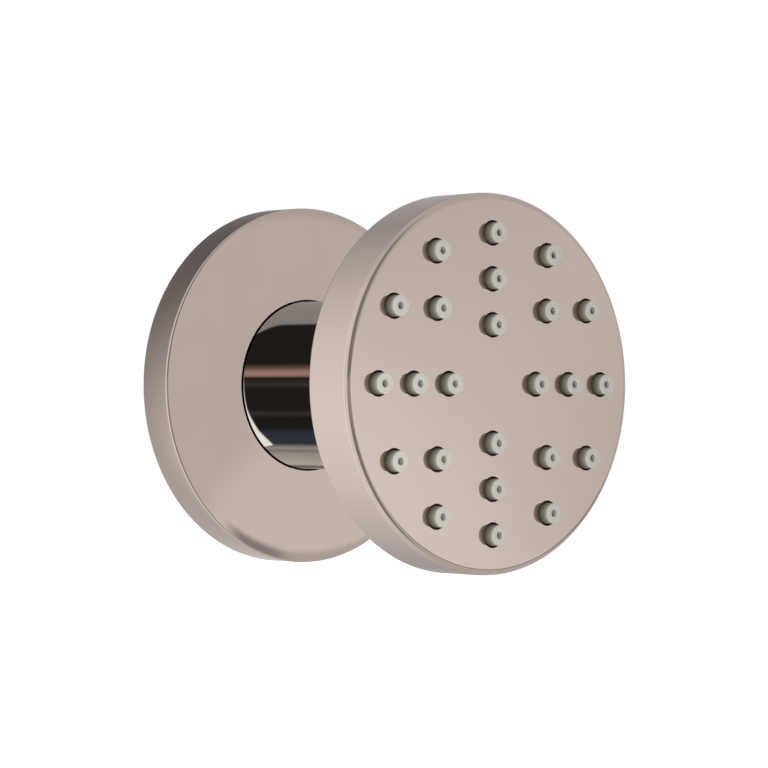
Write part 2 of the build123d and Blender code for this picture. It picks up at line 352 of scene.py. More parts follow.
# %% [markdown]
# ## The wall flange
# The flange hides the hole in the wall. It is a hollow cup, with a collar that slides on the neck over a rubber ring,
# and a gasket let into the edge that meets the wall. Its front edge is crisp, with only a fine rounding, and a
# narrow gap round the neck shows as a black line. A polishing wheel always takes a little more off near an edge, so
# the face rolls off by a tenth or two of a millimetre towards its rim and its hole. A corner with a very large
# rounding draws that, and the reflections bend there as they do on the real one.

# %% Flange
flange_edge = 0.4 * mm
flange_hole_room = 0.4 * mm
flange_face_wall = 2.2 * mm
flange_rim_wall = 3.1 * mm
collar_wall = 4.2 * mm
collar_setback = 1.4 * mm
groove_room = 0.2 * mm
inner_corner = 0.5 * mm
rim_roll = 2.1 * mm
rim_drop = 0.2 * mm
rim_polish = 24.0 * mm
hole_roll = 1.2 * mm
hole_drop = 0.08 * mm
hole_polish = 12.0 * mm

grip_radius, grip_rear, grip_front = turned_size("flange_o_ring")
gasket_radius, _, gasket_front = turned_size("wall_gasket")
flange_hole = neck_radius + flange_hole_room
collar_radius = flange_hole + collar_wall
flange_inside = flange_face - flange_face_wall
flange_bore = flange_radius - flange_rim_wall
flange_outline = softened([
    (flange_radius, flange_face - rim_drop, flange_edge),
    (flange_radius - rim_roll, flange_face, rim_polish),
    (flange_hole + hole_roll, flange_face, hole_polish),
    (flange_hole, flange_face - hole_drop, holding),
    (flange_hole, grip_front + groove_room, holding),
    (grip_radius, grip_front + groove_room, 0),
    (grip_radius, grip_rear - groove_room, 0),
    (flange_hole, grip_rear - groove_room, holding),
    (flange_hole, collar_setback, 2 * holding),
    (collar_radius, collar_setback, 2 * holding),
    (collar_radius, flange_inside, inner_corner),
    (flange_bore, flange_inside, inner_corner),
    (flange_bore, gasket_front, 0),
    (gasket_radius + still_room, gasket_front, 0),
    (gasket_radius + still_room, flange_back, holding),
    (flange_radius, flange_back, 2 * holding),
], closed=True)

flange = bmesh.new()
turn_outline(flange, flange_outline, closed=True)
wall_flange = finished_piece(flange, "wall_flange", "flange", "flange", "satin_nickel")

# %% [markdown]
# ## The ring that grips the neck
# Inside the flange's collar a rubber ring grips the neck, so the flange stays where it is pushed. The solid is round in
# section, as such a ring is bought. In its groove it is squeezed nearly square, and it closes the gap beside the neck,
# so no light comes through. A square section with well rounded corners shows that.

# %% Grip ring
grip_touch = 0.01 * mm
grip_corner = 0.7 * mm

grip_outline = softened([
    (grip_radius - grip_touch, grip_front, grip_corner),
    (neck_radius + grip_touch, grip_front, grip_corner),
    (neck_radius + grip_touch, grip_rear, grip_corner),
    (grip_radius - grip_touch, grip_rear, grip_corner),
], closed=True)

grip = bmesh.new()
turn_outline(grip, grip_outline, closed=True)
grip_ring = finished_piece(grip, "grip_ring", "flange", "flange_o_ring", "black_rubber")

# %% [markdown]
# ## The head's back disc
# A threaded disc closes the head from behind. Two small blind holes take the pins of a spanner, and the boss in the
# middle takes the stem. Only its back can be seen, past the neck, so that is the face that is covered round the
# two holes, and the rest is turned in one go.

# %% Back disc
disc_thickness = 2.8 * mm
boss_radius = 10.0 * mm
stem_seal_step = 1.86 * mm
spanner_circle = 24.0 * mm
spanner_hole = 2.0 * mm
spanner_depth = 1.4 * mm
disc_edge = 0.25 * mm

disc_radius, disc_rear, boss_front = turned_size("back_plate")
seal_radius, _, _ = turned_size("stem_o_ring")
stem_hole = seal_radius - stem_seal_step
disc_outline = softened([
    (disc_radius - disc_edge - 3 * holding, disc_rear, 0),
    (disc_radius, disc_rear, disc_edge),
    (disc_radius, disc_rear + disc_thickness, disc_edge),
    (boss_radius, disc_rear + disc_thickness, disc_edge),
    (boss_radius, boss_front, disc_edge),
    (stem_hole, boss_front, 0),
    (stem_hole, disc_rear + stem_seal_step, 0),
    (seal_radius, disc_rear + stem_seal_step, 0),
    (seal_radius, disc_rear, 0),
    (seal_radius + holding, disc_rear, 0),
])
spanner_outline = softened([
    (spanner_hole + disc_edge + 2 * holding, disc_rear, 0),
    (spanner_hole, disc_rear, disc_edge),
    (spanner_hole, disc_rear + spanner_depth, disc_edge),
    (spanner_hole / 2, disc_rear + spanner_depth, 0),
])

disc = bmesh.new()
disc_rings = list(turn_outline(disc, disc_outline))
for side in (-1, 1):
    mouth, floor = turn_outline(disc, spanner_outline, sides=hole_sides, centre=(side * spanner_circle, 0.0))
    disc_rings.append(mouth)
    cover(disc, [floor])
cover(disc, disc_rings)
back_disc = finished_piece(disc, "back_disc", "head", "back_plate", "satin_nickel")

# %% [markdown]
# ## The ball and its stem
# The ball, its hollow stem and a hexagonal collar are turned from one bar. The collar is what a spanner holds while the
# stem is screwed into the head. Its outline has a radius that changes with the turn: the distance to a
# hexagon's flat, cut back by a round chamfer at the corners, as on any nut.

# %% Ball, stem and collar
stem_radius = 6.0 * mm
water_bore = 3.5 * mm
hex_flats = 17.0 * mm
hex_thickness = 2.0 * mm
hex_chamfer = radians(30.0)
ball_steps = 48
hex_sides = 192

ball_radius, ball_rear, stem_front = turned_size("swivel_ball")
bore_angle = acos(water_bore / ball_radius)
stem_angle = acos(stem_radius / ball_radius)
ball_middle = ball_rear + ball_radius * sin(bore_angle)
ball_outline = []
for step in range(ball_steps + 1):
    angle = -bore_angle + (bore_angle + stem_angle) * step / ball_steps
    ball_outline.append((ball_radius * cos(angle), ball_middle + ball_radius * sin(angle)))
ball_outline += [(stem_radius, stem_front), (water_bore, stem_front)]


def hex_radius(turn):
    """The distance from the stem's axis to the hexagon's side."""
    return hex_flats / 2 / cos((turn + pi / 6) % (pi / 3) - pi / 6)


def hex_shoulder(turn):
    """The station where the corner chamfer at the collar's back meets the side."""
    return disc_rear - hex_thickness + (hex_radius(turn) - hex_flats / 2) * tan(hex_chamfer) + holding


hex_outline = [
    (stem_radius, disc_rear - hex_thickness),
    (hex_flats / 2 - holding, disc_rear - hex_thickness),
    (hex_radius, hex_shoulder),
    (hex_radius, disc_rear),
    (stem_radius, disc_rear),
]

ball = bmesh.new()
turn_outline(ball, ball_outline, closed=True)
turn_outline(ball, hex_outline, closed=True, sides=hex_sides)
ball_and_stem = finished_piece(ball, "ball_and_stem", "head", "swivel_ball", "mirror_nickel")

# %% [markdown]
# ## The threaded nipple
# The nipple screws into the fitting in the wall with a half-inch pipe thread. The solid has a plain cylinder there,
# which is right for fits, but a thread is what anyone expects to see from behind. A swept helix needs care at its
# ends, so here the radius of each ring follows the turn instead: a wave that climbs one pitch for each turn, cut
# off by the chamfer that leads the thread in. Pipe threads have round crests, so the wave is shaded smooth.

# %% Nipple
thread_pitch = 1.814 * mm
thread_depth = 1.162 * mm
crest_sharpness = 0.88
rows_per_pitch = 24
thread_sides = 160
round_crests = radians(60)
lead_chamfer = 1.0 * mm
relief_length = 2.0 * mm
relief_depth = 1.2 * mm
spigot_radius = 8.75 * mm
nipple_bore = 4.5 * mm
bore_chamfer = 0.4 * mm


def thread_radius(station):
    """A ring's radius as a function of the turn, at this station of the wall thread."""
    led_in = nipple_radius - lead_chamfer + (station - nipple_rear)

    def radius(turn):
        phase = 2 * pi * station / thread_pitch - turn
        wave = asin(crest_sharpness * cos(phase)) / asin(crest_sharpness)
        return min(nipple_radius - thread_depth * (1 - wave) / 2, led_in)

    return radius


thread_rows = int(-nipple_rear / thread_pitch * rows_per_pitch)
nipple_outline = [(nipple_bore + bore_chamfer, nipple_rear)]
for row in range(thread_rows + 1):
    station = nipple_rear * (1 - row / thread_rows)
    nipple_outline.append((thread_radius(station), station))
nipple_outline += [
    (nipple_radius - relief_depth, 0.0),
    (nipple_radius - relief_depth, relief_length),
    (nipple_radius, relief_length),
    (nipple_radius, nipple_shoulder),
    (spigot_radius, nipple_shoulder),
    (spigot_radius, nipple_front),
    (nipple_bore, nipple_front),
    (nipple_bore, nipple_rear + bore_chamfer),
]

nipple = bmesh.new()
turn_outline(nipple, nipple_outline, closed=True, sides=thread_sides)
threaded_nipple = finished_piece(
    nipple, "threaded_nipple", "neck", "inlet_nipple", "raw_brass", smooth=round_crests
)

# %% [markdown]
# ## Finishes
# Each finish is one small node tree on Blender's Principled shader. A single flat colour never looks like a real
# surface, so every finish has a slow variation in colour and gloss, and a fine relief through Bump. All
# textures use object coordinates, in metres, so their scale is a real size: a noise of scale 1000 has grains
# about a millimetre across.

# %% Helpers for node trees
slot_colours = {entry["slot"]: tuple(entry["base_color"]) for entry in frame["record"]["materials"]}
usual_noise = (0.3, 0.7)
rising = (0.0, 1.0)
fading = (1.0, 0.0)


def new_finish(name):
    finish = bpy.data.materials.new(name)
    finish.use_nodes = True
    return finish, finish.node_tree, finish.node_tree.nodes["Principled BSDF"]


def add(tree, kind, **values):
    """A new node, with some of its sockets set by name."""
    node = tree.nodes.new(kind)
    for socket, value in values.items():
        node.inputs[socket.replace("_", " ")].default_value = value
    return node


def noise(tree, grains_per_metre, detail=2.0, distortion=0.0):
    """A noise in the piece's own space."""
    place = add(tree, "ShaderNodeTexCoord")
    texture = add(tree, "ShaderNodeTexNoise", Scale=grains_per_metre, Detail=detail, Distortion=distortion)
    tree.links.new(place.outputs["Object"], texture.inputs["Vector"])
    return texture.outputs["Fac"]


def ranged(tree, value, zone, levels, shape="LINEAR"):
    """Goes from one level to another while the value goes through the zone."""
    node = add(tree, "ShaderNodeMapRange", From_Min=zone[0], From_Max=zone[1], To_Min=levels[0], To_Max=levels[1])
    node.interpolation_type = shape
    tree.links.new(value, node.inputs["Value"])
    return node.outputs["Result"]


def stepped(tree, value, zone, levels=rising):
    """As ranged, with a smooth start and a smooth end."""
    return ranged(tree, value, zone, levels, "SMOOTHSTEP")


def spread(tree, source, low, high, target):
    """Feeds a noise to a number's socket, stretched from its usual middle range to low and high."""
    tree.links.new(ranged(tree, source, usual_noise, (low, high)), target)


def tint(tree, source, colour, darker, lighter, target):
    """Feeds a colour socket with the colour made darker and lighter by a noise."""
    mix = tree.nodes.new("ShaderNodeMix")
    mix.data_type = "RGBA"
    mix.inputs["A"].default_value = (*(darker * channel for channel in colour), 1.0)
    mix.inputs["B"].default_value = (*(lighter * channel for channel in colour), 1.0)
    tree.links.new(source, mix.inputs["Factor"])
    tree.links.new(mix.outputs["Result"], target)


def relief(tree, source, depth, strength, shader):
    """A bump of this depth in metres."""
    bump = add(tree, "ShaderNodeBump", Strength=strength, Distance=depth)
    tree.links.new(source, bump.inputs["Height"])
    tree.links.new(bump.outputs["Normal"], shader.inputs["Normal"])


def maths(tree, operation, first, second):
    """A math node between two sockets or numbers."""
    node = tree.nodes.new("ShaderNodeMath")
    node.operation = operation
    for socket, value in zip(node.inputs, (first, second)):
        if isinstance(value, (int, float)):
            socket.default_value = value
        else:
            tree.links.new(value, socket)
    return node.outputs["Value"]


def product(tree, first, *others):
    """All these sockets or numbers multiplied."""
    for other in others:
        first = maths(tree, "MULTIPLY", first, other)
    return first


def total(tree, first, *others):
    """All these sockets or numbers added."""
    for other in others:
        first = maths(tree, "ADD", first, other)
    return first


def place_parts(tree, kind="Object"):
    """The sideways, outward and upward parts of a place on the piece, or of a direction in the world."""
    place = add(tree, "ShaderNodeTexCoord")
    parts = add(tree, "ShaderNodeSeparateXYZ")
    tree.links.new(place.outputs[kind], parts.inputs["Vector"])
    return parts.outputs["X"], parts.outputs["Y"], parts.outputs["Z"]


print("finishes to make:", ", ".join(slot_colours))

# %% [markdown]
# ### Nickel plate
# Warm polished nickel is a mirror with a faint rosy cast. On a real piece the buffing wheel leaves a slow haze, and
# wiping leaves hairlines that are only felt as a softening of the reflections. So the gloss varies slowly, the
# colour by a few percent, and a very shallow relief breaks up the sharpest reflections. The neck is polished
# further than the head and the flange, which makes it sharper and paler, so the same function makes both.

# %% Nickel
def nickel(slot, smoothest, dullest, paleness=0.0):
    finish, tree, shader = new_finish(slot)
    haze = noise(tree, grains_per_metre=70.0, detail=3.0)
    colour = [channel + paleness * (1 - channel) for channel in slot_colours[slot]]
    shader.inputs["Metallic"].default_value = 1.0
    tint(tree, haze, colour, darker=0.97, lighter=1.03, target=shader.inputs["Base Color"])
    spread(tree, haze, low=smoothest, high=dullest, target=shader.inputs["Roughness"])
    hairlines = noise(tree, grains_per_metre=2600.0, detail=3.0, distortion=0.6)
    relief(tree, hairlines, depth=0.004 * mm, strength=0.1, shader=shader)
    return finish


finishes = {
    "satin_nickel": nickel("satin_nickel", smoothest=0.05, dullest=0.08),
    "mirror_nickel": nickel("mirror_nickel", smoothest=0.03, dullest=0.05, paleness=0.3),
}
print("made", ", ".join(finishes))

# %% [markdown]
# ### Silicone
# The nozzles are pale grey silicone. It is matt and a little translucent, so light bleeds through the thin edges of
# the buttons and softens their shading. Subsurface scattering does that, with a radius of about the wall of a
# button. The sides of the buttons carry painted shade, darkest and warmest at the foot by the face and gone at the
# tips. An attribute on the mesh's points says how far up a button's side each of them is, and the finish darkens by it.

# %% Height up the buttons
bore_limit = 1.5 * mm

height_up = nozzle_buttons.data.attributes.new("height_up", "FLOAT", "POINT")
for number, point in enumerate(nozzle_buttons.data.vertices):
    from_axis = min(hypot(point.co.x - across, point.co.z - up) for across, up in nozzle_places)
    share = (-point.co.y - head_face) / (nozzle_tip - head_face)
    height_up.data[number].value = share if from_axis > bore_limit else 1.0
print("marked", len(height_up.data), "points")

# %% Silicone
# Painted shade up a button's side, by its share of the way from the face to the tip: darker and warmer at the foot.
side_painted_shade = [
    (0.0, (0.193, 0.167, 0.14)),
    (0.5, (0.368, 0.342, 0.298)),
    (0.86, (0.7, 0.684, 0.658)),
    (0.97, (1.0, 0.95, 0.945)),
]
paler_all_over = 1.03
cloudiness = 0.02
bleeding = 0.25
bleeding_by_colour = (1.0, 1.0, 0.9)
bleeding_depth = 0.6 * mm


def silicone(slot):
    finish, tree, shader = new_finish(slot)
    cloud = noise(tree, grains_per_metre=350.0)
    # The colour is multiplied by the painted side shade, which fades out towards the tips.
    shaded_colour = tree.nodes.new("ShaderNodeMix")
    shaded_colour.data_type = "RGBA"
    shaded_colour.blend_type = "MULTIPLY"
    shaded_colour.inputs["Factor"].default_value = 1.0
    darkest, palest = (1 - cloudiness) * paler_all_over, (1 + cloudiness) * paler_all_over
    tint(tree, cloud, slot_colours[slot], darkest, palest, target=shaded_colour.inputs["A"])
    height = tree.nodes.new("ShaderNodeAttribute")
    height.attribute_name = "height_up"
    side_shade_ramp = tree.nodes.new("ShaderNodeValToRGB")
    while len(side_shade_ramp.color_ramp.elements) < len(side_painted_shade):
        side_shade_ramp.color_ramp.elements.new(0.5)
    for element, (share, shade) in zip(side_shade_ramp.color_ramp.elements, side_painted_shade):
        element.position = share
        element.color = (*shade, 1.0)
    tree.links.new(height.outputs["Fac"], side_shade_ramp.inputs["Fac"])
    tree.links.new(side_shade_ramp.outputs["Color"], shaded_colour.inputs["B"])
    tree.links.new(shaded_colour.outputs["Result"], shader.inputs["Base Color"])
    spread(tree, cloud, low=0.48, high=0.6, target=shader.inputs["Roughness"])
    shader.inputs["Subsurface Weight"].default_value = bleeding
    shader.inputs["Subsurface Radius"].default_value = bleeding_by_colour
    shader.inputs["Subsurface Scale"].default_value = bleeding_depth
    relief(tree, noise(tree, grains_per_metre=6000.0), depth=0.01 * mm, strength=0.3, shader=shader)
    return finish


finishes["nozzle_rubber"] = silicone("nozzle_rubber")
print("made nozzle_rubber")

# %% [markdown]
# ### Rubber, brass and plastic
# The seals are black rubber with a matt moulded skin. The nipple and the retaining ring are bare brass straight from
# the lathe, so their relief runs in rings round the axis: a noise stretched along the turn. The inner mouldings are
# off-white plastic with a fine spark-eroded grain.

# %% Rubber, brass and plastic
marks_per_metre = (150.0, 9000.0, 150.0)


def black_rubber(slot):
    finish, tree, shader = new_finish(slot)
    bloom = noise(tree, grains_per_metre=500.0, detail=4.0)
    tint(tree, bloom, slot_colours[slot], darker=0.7, lighter=1.6, target=shader.inputs["Base Color"])
    spread(tree, bloom, low=0.5, high=0.75, target=shader.inputs["Roughness"])
    skin = noise(tree, grains_per_metre=5000.0, detail=3.0)
    relief(tree, skin, depth=0.02 * mm, strength=0.4, shader=shader)
    return finish


def turned_brass(slot):
    finish, tree, shader = new_finish(slot)
    tarnish = noise(tree, grains_per_metre=220.0, detail=4.0)
    shader.inputs["Metallic"].default_value = 1.0
    tint(tree, tarnish, slot_colours[slot], darker=0.82, lighter=1.08, target=shader.inputs["Base Color"])
    spread(tree, tarnish, low=0.2, high=0.34, target=shader.inputs["Roughness"])
    place = add(tree, "ShaderNodeTexCoord")
    squeeze = add(tree, "ShaderNodeMapping", Scale=marks_per_metre)
    tool_marks = add(tree, "ShaderNodeTexNoise", Scale=1.0, Detail=2.0)
    tree.links.new(place.outputs["Object"], squeeze.inputs["Vector"])
    tree.links.new(squeeze.outputs["Vector"], tool_marks.inputs["Vector"])
    relief(tree, tool_marks.outputs["Fac"], depth=0.01 * mm, strength=0.3, shader=shader)
    return finish


def moulded_plastic(slot):
    finish, tree, shader = new_finish(slot)
    flow = noise(tree, grains_per_metre=150.0)
    tint(tree, flow, slot_colours[slot], darker=0.96, lighter=1.02, target=shader.inputs["Base Color"])
    spread(tree, flow, low=0.35, high=0.5, target=shader.inputs["Roughness"])
    relief(tree, noise(tree, grains_per_metre=4000.0), depth=0.01 * mm, strength=0.3, shader=shader)
    return finish


finishes["black_rubber"] = black_rubber("black_rubber")
finishes["raw_brass"] = turned_brass("raw_brass")
finishes["white_plastic"] = moulded_plastic("white_plastic")
print("made", ", ".join(finishes))

# %% [markdown]
# ### Putting the finishes on
# The new pieces and the solids that still show take their finish from the slot that the record gives each of them.
# A solid's own mesh is never edited: only its material slot changes.

# %% Dress every piece
new_pieces = [
    head_cup, nozzle_buttons, neck_tube, wall_flange, grip_ring, back_disc, ball_and_stem, threaded_nipple,
]
for piece in new_pieces:
    piece.data.materials.append(finishes[piece["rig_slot"]])
for entry in frame["record"]["subparts"]:
    solid = frame["nodes"][entry["node"]]
    solid.data.materials.clear()
    solid.data.materials.append(finishes[entry["material_slot"]])
print("dressed", len(new_pieces), "new pieces and", len(frame["nodes"]), "solids")

# %% [markdown]
# ## Floor
# The jet belongs on a wall, so it floats over a plain pale floor, as on a plain white page. The floor glows a
# little for the camera and is left out of the reflections, where the studio's light is what counts.

# %% Floor
floor_drop = 0.25
floor_radius = 6.0
floor_sides = 96
floor_white = (0.9, 0.9, 0.9)
floor_glow = 0.6

paper, paper_tree, paper_shader = new_finish("floor_paper")
fibres = noise(paper_tree, grains_per_metre=8.0)
tint(paper_tree, fibres, floor_white, darker=0.99, lighter=1.0, target=paper_shader.inputs["Base Color"])
paper_shader.inputs["Roughness"].default_value = 0.9
paper_shader.inputs["Emission Color"].default_value = (1.0, 1.0, 1.0, 1.0)
paper_shader.inputs["Emission Strength"].default_value = floor_glow

sheet = bmesh.new()
bmesh.ops.create_circle(sheet, cap_ends=True, segments=floor_sides, radius=floor_radius)
floor_data = bpy.data.meshes.new("floor")
sheet.to_mesh(floor_data)
sheet.free()
floor_data.materials.append(paper)
studio_floor = bpy.data.objects.new("studio_floor", floor_data)
studio_floor.location.z = -floor_drop
studio_floor.visible_glossy = False
studio_floor.visible_diffuse = False
bpy.context.scene.collection.objects.link(studio_floor)
print("floor", floor_drop, "m below the jet's axis")

# %% [markdown]
# ## Studio light
# Polished metal has no shading of its own: it shows what is around it. The studio is painted on the world by
# direction. An image of a studio could do this, but a few rules are easier to change. Behind the jet the light comes
# from the left, which shapes the rims. It has a least and a greatest glow, and straight out to the sides it is dimmer,
# so that the metal doesn't melt into the white page there.

# %% Glow behind the jet
rear_slant = (0.72, -0.62, -0.2)
rear_least_zone, rear_least = (0.3, 0.6), (0.7, 0.45)
rear_most_zone, rear_most = (0.1, 0.5), (1.15, 1.35)
side_start, side_stop = (-0.16, -0.08), (0.03, 0.09)
side_most = 1.35
side_dimming = 0.6

world = bpy.data.worlds.new("studio")
bpy.context.scene.world = world
world.use_nodes = True
studio = world.node_tree
studio.nodes.clear()
to_right, to_wall, upward = place_parts(studio, "Generated")


def slanting_glow(middle, rightward_change, upward_change):
    """A glow that changes evenly with the direction."""
    sideways_part = product(studio, to_right, rightward_change)
    upward_part = product(studio, upward, upward_change)
    return total(studio, sideways_part, upward_part, middle)


rear_glow = slanting_glow(*rear_slant)
rear_glow = maths(studio, "MAXIMUM", rear_glow, stepped(studio, to_wall, rear_least_zone, rear_least))
rear_glow = maths(studio, "MINIMUM", rear_glow, stepped(studio, to_wall, rear_most_zone, rear_most))
to_side = product(studio, stepped(studio, to_wall, side_start), stepped(studio, to_wall, side_stop, fading))
side_limit = maths(studio, "SUBTRACT", side_most, product(studio, to_side, side_dimming))
rear_glow = maths(studio, "MINIMUM", rear_glow, side_limit)
print("behind: least", rear_least, "and most", rear_most)

# %% [markdown]
# In front one large soft light stands on the right, and the two faces mirror its far edge, so they shade gently across.
# The edge leans, which turns the shading a little. The light fades towards the left, the ceiling and the floor.

# %% Glow in front
front_slant = (3.358, -3.536, -2.137)
edge_place = 0.68
edge_lean = 62.9
level_zone = (-0.08, 0.08)
front_least = 0.72
front_most_zone, front_most = (-0.3, 0.0), (0.72, 1.12)
leftward_zone, leftward_fade = (0.1, 0.45), (0.45, 1.0)
front_zone = (-0.75, -0.45)

near_level = stepped(studio, upward, level_zone, level_zone)
lean = product(studio, maths(studio, "SUBTRACT", to_right, edge_place), near_level)
front_glow = total(studio, slanting_glow(*front_slant), product(studio, lean, edge_lean))
front_glow = maths(studio, "MAXIMUM", front_glow, front_least)
front_glow = maths(studio, "MINIMUM", front_glow, stepped(studio, upward, front_most_zone, front_most))
front_glow = product(studio, front_glow, stepped(studio, to_right, leftward_zone, leftward_fade))

in_front = stepped(studio, to_wall, front_zone, fading)
step_forward = product(studio, in_front, maths(studio, "SUBTRACT", front_glow, rear_glow))
glow = total(studio, rear_glow, step_forward)
print("in front: least", front_least, "and most", front_most)

# %% [markdown]
# A narrow dark seam under the large light, where its stand would be, draws the thin dark line along the lower edge of
# the head.

# %% Seam under the light
seam_foot, seam_top = (-0.24, -0.17), (-0.13, -0.09)
seam_left = (0.5, 0.58)
seam_depth = (-0.5, -0.4)
seam_darkness = 0.85

seam = product(
    studio,
    stepped(studio, upward, seam_foot),
    stepped(studio, upward, seam_top, fading),
    stepped(studio, to_right, seam_left),
    stepped(studio, to_wall, seam_depth, (seam_darkness, 0.0)),
)
glow = product(studio, glow, maths(studio, "SUBTRACT", 1.0, seam))
print("seam", seam_darkness, "darker")

# %% [markdown]
# The camera itself sees none of this. Its rays find a plain white page, and all other rays find the studio.

# %% World output
page_white = 1.0

seen = studio.nodes.new("ShaderNodeLightPath")
page = add(studio, "ShaderNodeBackground", Color=(1.0, 1.0, 1.0, 1.0), Strength=page_white)
lit = add(studio, "ShaderNodeBackground", Color=(1.0, 1.0, 1.0, 1.0))
choice = studio.nodes.new("ShaderNodeMixShader")
output = studio.nodes.new("ShaderNodeOutputWorld")
studio.links.new(glow, lit.inputs["Strength"])
studio.links.new(seen.outputs["Is Camera Ray"], choice.inputs["Fac"])
studio.links.new(lit.outputs["Background"], choice.inputs[1])
studio.links.new(page.outputs["Background"], choice.inputs[2])
studio.links.new(choice.outputs["Shader"], output.inputs["Surface"])
bpy.context.scene.view_settings.view_transform = "Standard"
print("page white", page_white)

# %% [markdown]
# The silicone is matt, so it needs light that falls on it. One small soft lamp hangs close to the head, on the left and
# a little below the middle, so the buttons there are the palest. It is kept out of reflections, so the metal stays as
# it is.

# %% Soft lamp
lamp_from_face = Vector((-80 * mm, -90 * mm, -30 * mm))
lamp_size = 60 * mm
lamp_power = 0.05

lamp_place = face_middle + lamp_from_face
soft_lamp = bpy.data.objects.new("soft_lamp", bpy.data.lights.new("soft_lamp", "AREA"))
soft_lamp.data.shape = "DISK"
soft_lamp.data.size = lamp_size
soft_lamp.data.energy = lamp_power
soft_lamp.location = lamp_place
soft_lamp.rotation_euler = (face_middle - lamp_place).to_track_quat("-Z", "Y").to_euler()
soft_lamp.visible_glossy = False
soft_lamp.visible_camera = False
bpy.context.scene.collection.objects.link(soft_lamp)
print("soft lamp", lamp_power, "W")

# %% [markdown]
# ## Cards close to the jet
# Some reflections come from things close by, which a world at infinity can't give. Four cards stand in for them.
# Only reflections see them, so they neither show nor cast shadows, and the camera looks straight through.

# %% Helpers for cards
card_sides = 96
any_distance = 1.0


def new_glow(name):
    """A finish that only glows: its tree, and the shader that glows."""
    finish, tree, shader = new_finish(name)
    tree.nodes.remove(shader)
    shine = tree.nodes.new("ShaderNodeEmission")
    tree.links.new(shine.outputs["Emission"], tree.nodes["Material Output"].inputs["Surface"])
    return finish, tree, shine


def seen_from_behind(tree, shine, reach=any_distance):
    """Makes a glow show only on the back of its faces and within reach, and lets all other rays through."""
    side = tree.nodes.new("ShaderNodeNewGeometry")
    ray = tree.nodes.new("ShaderNodeLightPath")
    clear = tree.nodes.new("ShaderNodeBsdfTransparent")
    choice = tree.nodes.new("ShaderNodeMixShader")
    near = maths(tree, "LESS_THAN", ray.outputs["Ray Length"], reach)
    tree.links.new(product(tree, side.outputs["Backfacing"], near), choice.inputs["Fac"])
    tree.links.new(clear.outputs["BSDF"], choice.inputs[1])
    tree.links.new(shine.outputs["Emission"], choice.inputs[2])
    tree.links.new(choice.outputs["Shader"], tree.nodes["Material Output"].inputs["Surface"])


def reflection_card(mesh, name, finish):
    """Makes an object of the mesh that only reflections see."""
    data = bpy.data.meshes.new(name)
    mesh.to_mesh(data)
    mesh.free()
    data.materials.append(finish)
    card = bpy.data.objects.new(name, data)
    card.visible_camera = False
    card.visible_diffuse = False
    card.visible_shadow = False
    card.visible_transmission = False
    card.visible_volume_scatter = False
    bpy.context.scene.collection.objects.link(card)
    print(name, "is seen only in reflections")
    return card


def round_sheet(radius, station, aside=0.0):
    """A flat disc that faces away from the wall."""
    mesh = bmesh.new()
    mesh.faces.new(ring_of_points(mesh, radius, station, card_sides, (aside, 0.0)))
    return mesh


print("a card has", card_sides, "sides")

# %% [markdown]
# The flange's rim is darker than the head's, because something grey stands close behind it. A round card there
# shades from dark at its top to light at its foot, and outwards. It is small enough for the head's rim to look past it.

# %% Grey card behind the flange
grey_radius = 100 * mm
grey_distance = 50 * mm
grey_zone, grey_levels = (-88 * mm, 118 * mm), (0.85, 0.1)
grey_most = 0.77
outer_zone, outer_levels = (73 * mm, 83 * mm), (0.84, 1.18)

grey, grey_tree, grey_shine = new_glow("grey_card")
across, _, height = place_parts(grey_tree)
shade = maths(grey_tree, "MINIMUM", stepped(grey_tree, height, grey_zone, grey_levels), grey_most)
squares = total(grey_tree, product(grey_tree, across, across), product(grey_tree, height, height))
from_middle = maths(grey_tree, "POWER", squares, 0.5)
outward_rise = stepped(grey_tree, from_middle, outer_zone, outer_levels)
grey_tree.links.new(product(grey_tree, shade, outward_rise), grey_shine.inputs["Strength"])
reflection_card(round_sheet(grey_radius, -grey_distance), "grey_card", grey)

# %% [markdown]
# The flange's face mirrors the space behind the head. A pale card there gives it an even tone, with a lighter patch
# low on the right and a darker foot. It glows only towards the wall, so from the front it isn't there at all.

# %% Pale card behind the head
pale_radius = 62 * mm
pale_aside = 42 * mm
pale_gap = 0.4 * mm
patch_rightward, patch_upward = 0.6, -0.755
patch_zone, patch_levels = (18.9 * mm, 30.9 * mm), (0.79, 0.95)
top_zone, top_levels = (40 * mm, 50 * mm), (1.0, 0.86)
foot_bend = 30 * mm
foot_slope = 0.31
foot_zone = (-37 * mm, -28.7 * mm)
foot_start = (4 * mm, 13 * mm)
foot_end, foot_darkness = (22 * mm, 34 * mm), (0.6, 0.27)

pale, pale_tree, pale_shine = new_glow("pale_card")
across, _, height = place_parts(pale_tree)
slant = total(pale_tree, product(pale_tree, across, patch_rightward), product(pale_tree, height, patch_upward))
patch = stepped(pale_tree, slant, patch_zone, patch_levels)
top = stepped(pale_tree, height, top_zone, top_levels)
foot_across = maths(pale_tree, "MINIMUM", across, foot_bend)
foot_slant = total(pale_tree, height, product(pale_tree, foot_across, foot_slope))
foot = product(
    pale_tree,
    stepped(pale_tree, foot_slant, foot_zone, fading),
    stepped(pale_tree, across, foot_start),
    stepped(pale_tree, across, foot_end, foot_darkness),
)
pale_light = product(pale_tree, patch, top, maths(pale_tree, "SUBTRACT", 1.0, foot))
pale_tree.links.new(pale_light, pale_shine.inputs["Strength"])
seen_from_behind(pale_tree, pale_shine)
reflection_card(round_sheet(pale_radius, head_back - pale_gap, pale_aside), "pale_card", pale)

# %% [markdown]
# The gap between the neck and the flange swallows light. A black sleeve just under the neck's surface, with a foot
# across the gap, makes sure that the hole's polished wall mirrors nothing else.

# %% Black sleeve in the flange's hole
sleeve_gap = 0.2 * mm

